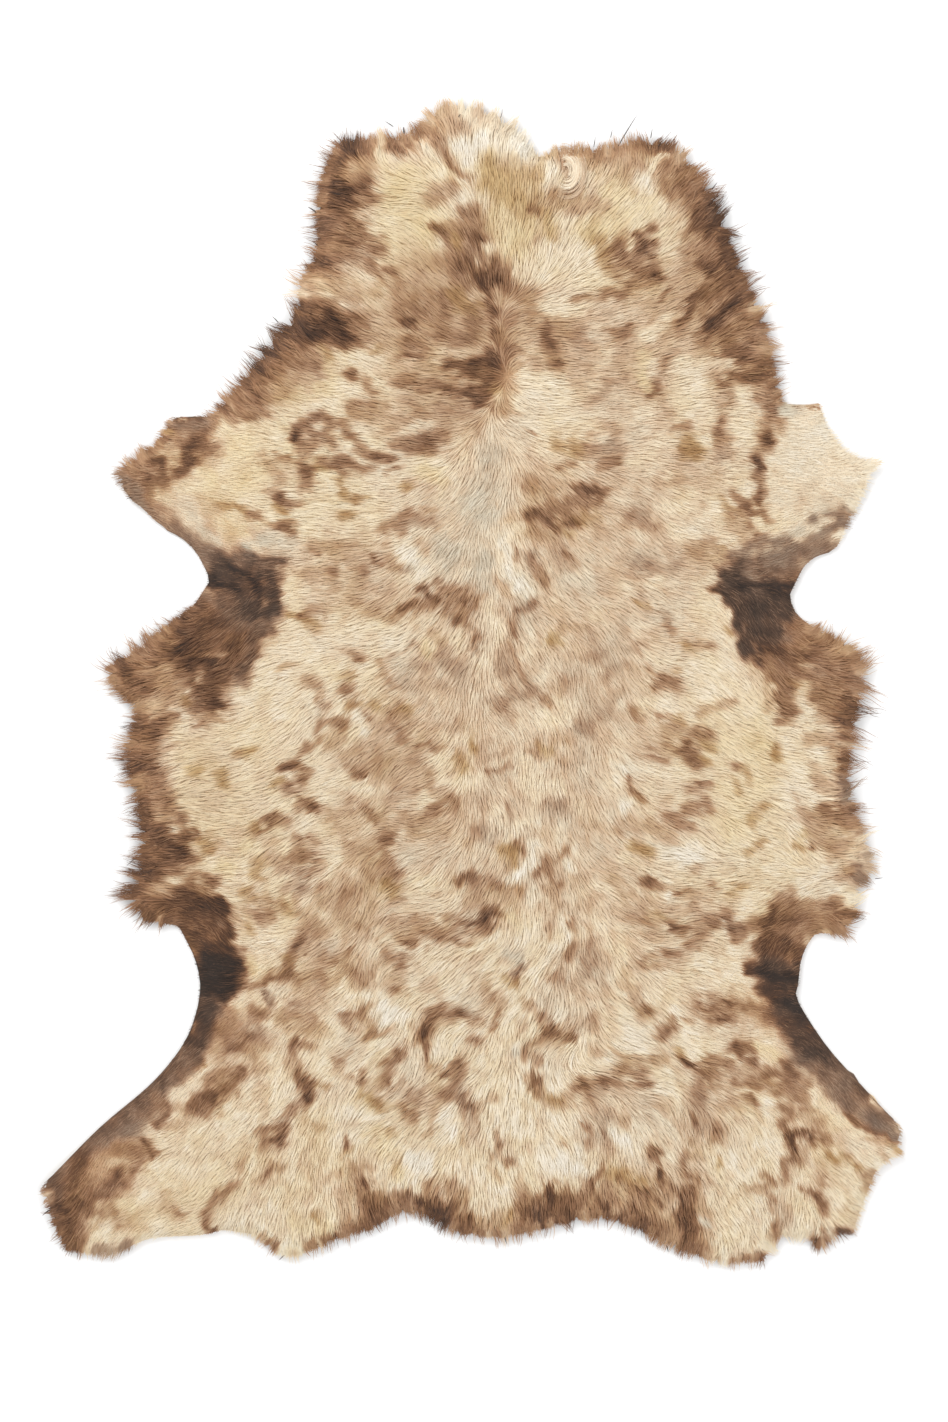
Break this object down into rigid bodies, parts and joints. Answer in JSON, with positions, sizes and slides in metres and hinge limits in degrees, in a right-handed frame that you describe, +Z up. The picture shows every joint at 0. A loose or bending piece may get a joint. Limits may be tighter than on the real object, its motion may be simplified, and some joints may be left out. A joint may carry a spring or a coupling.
{
  "type": "sheepskin rug",
  "caption": "Flat tanned sheepskin with its combed wool on, in the natural hide outline with leg flaps, to lay on a floor, bed or seat.",
  "frame": {"origin": "middle of the hide's bounding box, on the surface that it lies on", "axes": "+Y towards the neck, +X to the right of the spine as seen from above, +Z up out of the wool"},
  "size_m": [0.8222, 1.1138, 0.0255],
  "materials": {
    "fleece": "matte combed wool, cream mottled with tan and brown",
    "skin": "matte suede flesh side with a cut edge"
  },
  "bodies": {
    "root": {"sheepskin": "fleece"}
  },
  "joints": []
}
